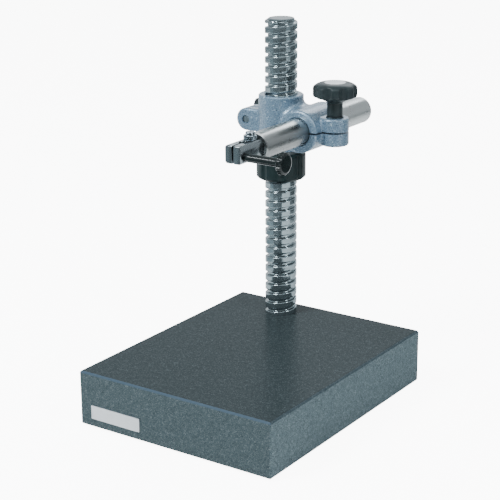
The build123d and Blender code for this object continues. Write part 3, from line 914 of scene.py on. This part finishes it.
@dataclass(frozen=True)
class GroovedColumn:
    """Chromed column with a helical square groove, set into the plate."""

    role: Role = Role("turned_column", "column", "column_steel", "stand", 28.0)
    seat: Seat = Seat((-0.036, 0.098, 0.0))
    radius: float = 0.015
    foot: float = -0.022
    shoulder: float = 0.2814
    tip_top: float = 0.283
    tip_radius: float = 0.0122
    end_bevel: float = 0.0007
    pitch: float = 0.0091
    groove_width: float = 0.003
    groove_depth: float = 0.0027
    groove_edge: float = 0.0008
    groove_root: float = 0.0009
    edge_steps: int = 5
    root_steps: int = 4
    land_row: float = 0.8
    edge_row: float = 0.96
    start_height: float = 0.0024
    start_angle: float = math.radians(350.8)
    start_fade: float = 0.03
    around: int = 64
    turns: float = 35.125

    def section(self) -> list[Pair]:
        """Cross-section of the groove in the middle of one pitch, its outer edges rounded.

        Returns:
            Each row's place in the pitch and depth in the groove, as shares.
        """
        wall, land = self.groove_width / 2, self.pitch / 2
        edge, root, depth = self.groove_edge, self.groove_root, self.groove_depth
        half = [(-land, 0.0), (-land * self.land_row, 0.0),
                (-(land + wall + edge) / 2 * self.edge_row, 0.0)]
        half += [(-wall - edge + edge * along, edge * fall)
                 for along, fall in quarter(self.edge_steps)]
        half.append((-wall, (edge + depth) / 2))
        half += [(-wall + root * fall, depth - root + root * along)
                 for along, fall in quarter(self.root_steps)]
        half.append((-(wall - root) / 2, depth))
        rows = half + [(0.0, depth)] + [(-along, deep) for along, deep in reversed(half)]
        return [(0.5 + along / self.pitch, deep / depth) for along, deep in rows]

    def build(self, shop: Workshop) -> None:
        """Grow the column and close its two ends.

        Args:
            shop: the workshop.
        """
        mesh = shop.grown(self.role, column_group(self.section()), sizes(self))
        tip = lathe(((self.tip_radius, self.shoulder),
                     (self.tip_radius, self.tip_top - self.end_bevel),
                     (self.tip_radius - self.end_bevel, self.tip_top),
                     (0.0, self.tip_top)), self.around)
        lead = (self.foot - self.pitch - self.start_height) / self.pitch
        tip.transform(Matrix.Rotation(self.start_angle + FULL_TURN * lead, 4, "Z"))
        shop.hand_over(self.role, closed(mesh, [tip]), self.seat)


@dataclass(frozen=True)
class LiftingNut:
    """Blackened nut with shallow finger flutes that carries the bracket."""

    role: Role = Role("fluted_nut", "lifting_nut", "nut_black", "nut")
    seat: Seat = Seat((-0.036, 0.098, 0.1336))
    radius: float = 0.0233
    height: float = 0.026
    bore: float = 0.0153
    bore_bevel: float = 0.0006
    bore_round: float = 0.0004
    end_bevel: float = 0.0024
    end_round: float = 0.0008
    flutes: Flutes = Flutes(8, 0.0046, 0.0013, 0.0006, 30, 0.0012)
    turn: float = 35.0

    def build(self, shop: Workshop) -> None:
        """Turn the nut and carve its flutes.

        Args:
            shop: the workshop.
        """
        lower = [(self.bore, self.bore_bevel), (self.bore + self.bore_bevel, 0.0, self.bore_round),
                 (self.radius - self.end_bevel, 0.0, self.end_round),
                 (self.radius, self.end_bevel, self.end_round)]
        upper = [(radius, self.height - level, *ease) for radius, level, *ease in reversed(lower)]
        outline = rounded(lower + upper + lower[:1])
        shop.fluted(self.role, outline, self.radius, self.flutes, self.seat, self.turn)


@dataclass(frozen=True)
class StarKnob:
    """Moulded clamp knob: slim neck, conical underside, eight lobes, domed crown and a pale cap.

    Its corners are radius, height and, where they have one, rounding.
    """

    name: str
    body: str
    seat: Seat
    turn: float
    stud: Pair = (0.00405, 0.01324)
    foot: Triple = (0.0071, 0.00124, 0.0005)
    head: Triple = (0.0071, 0.01384, 0.0008)
    cone_break: Triple = (0.0125, 0.01684, 0.0015)
    band: Triple = (0.02, 0.01924, 0.0016)
    shoulder: Triple = (0.02, 0.02764, 0.0016)
    crown_break: Pair = (0.0162, 0.03044)
    crown_end: Pair = (0.0104, 0.03184)
    crown_steps: int = 12
    cap_radius: float = 0.0096
    cap_gap: float = 0.0001
    cap_floor: float = 0.03094
    cap_top: float = 0.03234
    dome_rise: float = 0.0004
    dome_steps: int = 10
    cap_around: int = 96
    lobes: Flutes = Flutes(8, 0.006, 0.0026, 0.0014, 26, 0.0009)

    def build(self, shop: Workshop) -> None:
        """Turn the knob, carve its lobes and set the cap into its crown.

        Args:
            shop: the workshop.
        """
        start, end = Vector(self.shoulder[:2]), Vector(self.crown_end)
        control = Vector(self.crown_break) * 2.0 - (start + end) * 0.5
        crown, well = arc(start, control, end, self.crown_steps), self.cap_radius + self.cap_gap
        outline = rounded((
            (0.0, self.stud[1]), self.stud, (self.stud[0], self.foot[1]), self.foot, self.head,
            self.cone_break, self.band, self.shoulder, crown[2])) + crown[3:]
        outline += [(well, self.crown_end[1]), (well, self.cap_floor), (0.0, self.cap_floor)]
        star = Role(f"{self.name}_star", f"{self.name}_knob", "knob_plastic", self.body, 42.0)
        shop.fluted(star, outline, self.band[0], self.lobes, self.seat, self.turn)
        dome = [(self.cap_radius * along, self.cap_top - self.dome_rise * fall)
                for along, fall in reversed(quarter(self.dome_steps))]
        side = rounded(((0.0, self.cap_floor), (self.cap_radius, self.cap_floor),
                        (self.cap_radius, self.cap_top - self.dome_rise, self.dome_rise), dome[2]))
        cap = closed(lathe(side + dome[3:], self.cap_around))
        role = Role(f"{self.name}_dome", f"{self.name}_cap", "cap_plastic", self.body, 50.0)
        shop.hand_over(role, cap, self.seat)


@dataclass(frozen=True)
class StemKnob:
    """Glossy long-necked knob that clamps the gauge stem, its corners as in the star knob."""

    role: Role = Role("stem_grip", "stem_knob", "stem_knob_black", "stem_clamp")
    seat: Seat = Seat((0.0082, -0.0245, 0.1843), (1.0, 0.0, 0.0))
    stud: Pair = (0.00255, 0.01202)
    foot: Triple = (0.00375, 0.00002, 0.0004)
    flare: Triple = (0.00375, 0.03302, 0.0012)
    rim: Triple = (0.01, 0.03662, 0.0008)
    crown: Triple = (0.01, 0.04022, 0.0008)
    end: Triple = (0.0076, 0.04142, 0.0008)
    grips: Flutes = Flutes(10, 0.0024, 0.001, 0.0005, 20, 0.0007)

    def build(self, shop: Workshop) -> None:
        """Turn the knob and carve its grips.

        Args:
            shop: the workshop.
        """
        outline = rounded((
            (0.0, self.stud[1]), self.stud, (self.stud[0], self.foot[1]), self.foot, self.flare,
            self.rim, self.crown, self.end, (0.0, self.end[1])))
        shop.fluted(self.role, outline, self.rim[0], self.grips, self.seat)


@dataclass(frozen=True)
class FineScrew:
    """Bright fine-adjustment screw with a knurled flange and a dimple in its hub."""

    role: Role = Role("knurled_screw", "fine_screw", "screw_chrome", "fine", 50.0)
    seat: Seat = Seat((0.0, -0.0056, 0.0))
    tip: float = 0.1841
    thread_radius: float = 0.002
    flange_bottom: Triple = (0.0058, 0.19515, 0.0005)
    flange_top: Triple = (0.0058, 0.19915, 0.0005)
    hub_top: float = 0.20215
    hub_radius: float = 0.0041
    hub_round: float = 0.0003
    bevel: float = 0.0005
    dimple_depth: float = 0.0003
    dimple_shares: Pair = (0.3, 0.2)
    knurls: Flutes = Flutes(24, 0.00045, 0.00045, 0.0001, 12, 0.0008)

    def build(self, shop: Workshop) -> None:
        """Turn the screw and cut its knurl.

        Args:
            shop: the workshop.
        """
        mouth, floor = (self.hub_radius * share for share in self.dimple_shares)
        low = self.hub_top - self.dimple_depth
        outline = rounded((
            (0.0, self.tip), (self.thread_radius - self.bevel, self.tip),
            (self.thread_radius, self.tip + self.bevel),
            (self.thread_radius, self.flange_bottom[1]), self.flange_bottom, self.flange_top,
            (self.hub_radius, self.flange_top[1], self.hub_round),
            (self.hub_radius, self.hub_top - self.bevel, self.hub_round),
            (self.hub_radius - self.bevel, self.hub_top, self.hub_round),
            (mouth, self.hub_top), (floor, low), (0.0, low)))
        shop.fluted(self.role, outline, self.flange_top[0], self.knurls, self.seat)


@dataclass(frozen=True)
class FineSpring:
    """Coil spring between the holder's tail and the roof of the bar's pocket."""

    role: Role = Role("coiled_spring", "fine_spring", "washer_steel")
    radius: float = 0.0018
    wire: float = 0.00025
    turns: float = 4.0
    steps: int = 20
    sides: int = 12

    def build(self, shop: Workshop) -> None:
        """Coil the spring and set it between the holder below and the bar above.

        Args:
            shop: the workshop.
        """
        low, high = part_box("fine_spring")
        length = high[2] - low[2] - 2 * self.wire
        foot = Vector(((low[0] + high[0]) / 2, (low[1] + high[1]) / 2, low[2] + self.wire))
        mesh = closed(shop.grown(self.role, coil_group(), sizes(self) | {"Length": length}))
        spring = shop.hand_over(self.role, mesh, Seat(tuple(foot)))
        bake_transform(spring)


@dataclass(frozen=True)
class EasedHolder:
    """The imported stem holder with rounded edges.

    Faces within the flat angle are joined, and edges above the sharp one are rounded, in degrees.
    """

    role: Role = Role("eased_holder", "stem_holder", "holder_steel", "holder", 50.0)
    width: float = 0.0003
    segments: int = 3
    flat: float = 0.4
    sharp: float = 40.0

    def build(self, shop: Workshop) -> None:
        """Copy the holder, round its edges and hand it over.

        Args:
            shop: the workshop.
        """
        build = bmesh.new()
        build.from_mesh(frame["nodes"][self.role.node].data)
        bmesh.ops.remove_doubles(build, verts=build.verts, dist=WELD)
        bmesh.ops.dissolve_limit(build, angle_limit=math.radians(self.flat), verts=build.verts,
                                 edges=build.edges)
        blank = bpy.data.meshes.new("blank")
        build.to_mesh(blank)
        build.free()
        carrier = placed(self.role.name, blank)
        bevel = carrier.modifiers.new("edges", "BEVEL")
        bevel.width = self.width
        bevel.segments = self.segments
        bevel.limit_method = "ANGLE"
        bevel.angle_limit = math.radians(self.sharp)
        shop.hand_over(self.role, plain(carrier))


PIECES = (
    GroovedColumn(),
    LiftingNut(),
    StarKnob("bar_clamp", "bar_knob", Seat((0.0255, 0.092, 0.1994)), 10.0),
    StarKnob("column_clamp", "column_knob", Seat((-0.0685, 0.109, 0.1868), (0.0, 1.0, 0.0)), 0.5),
    StemKnob(),
    FineScrew(),
    FineSpring(),
    EasedHolder(),
)


@dataclass(frozen=True)
class Camera:
    """The photograph's viewpoint."""

    position: Triple = (0.698124, -1.024700, 0.491421)
    right: Triple = (0.82570, 0.56408, -0.00562)
    up: Triple = (-0.16769, 0.25496, 0.95230)
    back: Triple = (0.53861, -0.78537, 0.30511)
    lens_share: float = 2.956548
    sensor: float = 36.0
    clip_end: float = 20.0

    def build(self) -> None:
        """Place the camera and make it the scene's."""
        data = bpy.data.cameras.new("view")
        data.sensor_width = self.sensor
        data.lens = self.sensor * self.lens_share
        data.clip_end = self.clip_end
        camera = placed("view", data)
        turn = Matrix((self.right, self.up, self.back)).transposed()
        camera.matrix_world = Matrix.Translation(self.position) @ turn.to_4x4()
        bpy.context.scene.camera = camera


@dataclass(frozen=True)
class Lamp:
    """One soft box: where it hangs, what it looks at, its size and its power."""

    name: str
    position: Triple
    size: Pair
    power: float
    tint: Color = (0.92, 0.97, 1.0)
    target: Triple = (0.0, 0.02, 0.12)

    def build(self) -> None:
        """Hang the soft box."""
        data = bpy.data.lights.new(self.name, "AREA")
        data.shape = "RECTANGLE"
        data.size, data.size_y = self.size
        data.energy = self.power
        data.color = self.tint
        aim = (Vector(self.target) - Vector(self.position)).to_track_quat("-Z", "Y")
        placed(self.name, data).matrix_world = (
            Matrix.Translation(self.position) @ aim.to_matrix().to_4x4())


@dataclass(frozen=True)
class Card:
    """Dark card on the floor outside the picture, a sector about the column.

    It shows only in polished metal. Its start and end are directions in degrees, and near and far
    its distances from the column.
    """

    name: str
    start: float
    end: float
    near: float
    far: float
    tone: Color = (0.12, 0.15, 0.16)
    lift: float = 0.002
    centre: Pair = (-0.036, 0.098)
    steps: int = 24
    grain: float = 30.0
    paler: float = 1.3
    roughness: float = 0.9

    def build(self, low: float) -> Object:
        """Lay the card.

        Args:
            low: height of the floor.

        Returns:
            The card.
        """
        turns = [math.radians(self.start + (self.end - self.start) * step / self.steps)
                 for step in range(self.steps + 1)]
        x, y = self.centre
        corners = [(x + reach * math.cos(turn), y + reach * math.sin(turn), low + self.lift)
                   for reach in (self.near, self.far) for turn in turns]
        row = self.steps + 1
        faces = [(step, row + step, row + step + 1, step + 1) for step in range(self.steps)]
        mesh = bpy.data.meshes.new(self.name)
        mesh.from_pydata(corners, [], faces)
        tree = ShaderTree(self.name)
        grain = tree.noise(self.grain, 2.0)
        tree.surface(Base_Color=tree.shades(grain, self.tone, 1.0, self.paler),
                     Roughness=self.roughness)
        mesh.materials.append(tree.material)
        card = placed(self.name, mesh)
        card.visible_camera = card.visible_diffuse = card.visible_shadow = False
        return card


@dataclass(frozen=True)
class Studio:
    """Pale floor that glows for the camera, pale world, soft boxes and the dark cards."""

    floor_half: float = 60.0
    floor_tone: Color = (0.93, 0.93, 0.93)
    floor_dim: float = 0.985
    floor_grain: float = 40.0
    floor_roughness: float = 0.9
    floor_gloss: float = 0.1
    floor_glow: float = 9.0
    world_tone: Color = (0.88, 0.95, 1.0)
    world_strength: float = 0.62
    shade_strength: float = 0.3
    shade_range: Pair = (0.35, 0.8)
    back_strength: float = 1.35
    back_range: Pair = (-0.85, -0.45)
    shade_side: Triple = (0.54, -0.79, 0.3)
    cards: tuple[Card, ...] = (
        Card("front_card", -116.0, -51.0, 0.38, 0.9, (0.05, 0.06, 0.065)),
        Card("left_card", -142.0, -116.0, 0.62, 1.6),
        Card("dim_card", -180.0, -116.0, 0.3, 0.62, (0.2, 0.25, 0.27)),
        Card("upper_left_card", -116.0, -66.0, 0.9, 2.4, (0.05, 0.062, 0.068)),
        Card("upper_card", -66.0, -22.0, 0.9, 2.4, (0.02, 0.022, 0.022)),
        Card("side_card", 10.0, 58.0, 0.48, 2.4, (0.05, 0.06, 0.062)),
        Card("far_card", -180.0, 180.0, 1.6, 2.6, (0.2, 0.25, 0.27), lift=0.001),
    )
    lamps: tuple[Lamp, ...] = (
        Lamp("key", (-0.56, -1.14, 1.35), (0.5, 0.85), 38.0),
        Lamp("fill", (1.34, -0.2, 1.15), (0.32, 0.65), 13.0),
        Lamp("glint", (-0.9, -0.94, 1.21), (0.12, 0.12), 2.6),
        Lamp("rim", (-0.5, 1.5, 1.2), (0.9, 0.5), 6.0),
        Lamp("top", (0.28, -0.5, 1.6), (0.8, 0.8), 6.0),
    )

    def floor(self, low: float) -> Object:
        """Lay the pale floor.

        Args:
            low: height of the floor.

        Returns:
            The floor.
        """
        half = self.floor_half
        corners = ((-half, -half), (half, -half), (half, half), (-half, half))
        mesh = bpy.data.meshes.new("floor")
        mesh.from_pydata([(x, y, low) for x, y in corners], [], [(0, 1, 2, 3)])
        tree = ShaderTree("floor_paper")
        paper = tree.noise(self.floor_grain, 3.0)
        seen = tree.wire("ShaderNodeLightPath", "Is Camera Ray")
        tree.surface(Base_Color=tree.shades(paper, self.floor_tone, self.floor_dim, 1.0),
                     Roughness=self.floor_roughness, Specular_IOR_Level=self.floor_gloss,
                     Emission_Color=(1.0, 1.0, 1.0, 1.0), Emission_Strength=seen * self.floor_glow)
        mesh.materials.append(tree.material)
        return placed("floor", mesh)

    def sky(self) -> bpy.types.World:
        """Make the world: pale, dimmer toward the camera's side and brighter opposite.

        Returns:
            The world.
        """
        world = bpy.data.worlds.new("studio")
        world.use_nodes = True
        tree = NodeTree(world.node_tree)
        dot = tree.add("ShaderNodeVectorMath", operation="DOT_PRODUCT")
        tree.feed(dot.inputs[0], tree.wire("ShaderNodeTexCoord", "Generated"))
        tree.feed(dot.inputs[1], Vector(self.shade_side).normalized())
        toward = Wire(tree, dot.outputs["Value"])
        even = tree.remap(toward, *self.back_range, self.back_strength, self.world_strength)
        share = self.shade_strength / self.world_strength
        shade = tree.remap(toward, *self.shade_range, 1.0, share)
        background = world.node_tree.nodes["Background"]
        tree.feed(background.inputs["Color"], (*self.world_tone, 1.0))
        tree.feed(background.inputs["Strength"], even * shade)
        return world

    def build(self) -> None:
        """Lay the floor and the cards, set the world and hang the lamps."""
        low = CAD_BOX[0][2]
        self.floor(low)
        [card.build(low) for card in self.cards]
        bpy.context.scene.world = self.sky()
        for lamp in self.lamps:
            lamp.build()


def dress(materials: dict[str, Material]) -> None:
    """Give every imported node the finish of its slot.

    Args:
        materials: the finish of each slot.
    """
    slots = {row["node"]: row["material_slot"] for row in frame["record"]["subparts"]}
    for name, node in frame["nodes"].items():
        material = materials[slots[name]]
        if not node.material_slots:
            node.data.materials.append(material)
        for slot in node.material_slots:
            slot.material = material
        LOG.info("dressed %s in %s", name, slots[name])


def main() -> None:
    """Dress the nodes, make the formed pieces, then the studio and the camera."""
    logging.basicConfig(level=logging.INFO, format="%(name)s: %(message)s")
    materials = {finish.name: finish.material() for finish in FINISHES}
    dress(materials)
    shop = Workshop(materials)
    for piece in PIECES:
        piece.build(shop)
    Studio().build()
    Camera().build()


if __name__ == "__main__":
    main()
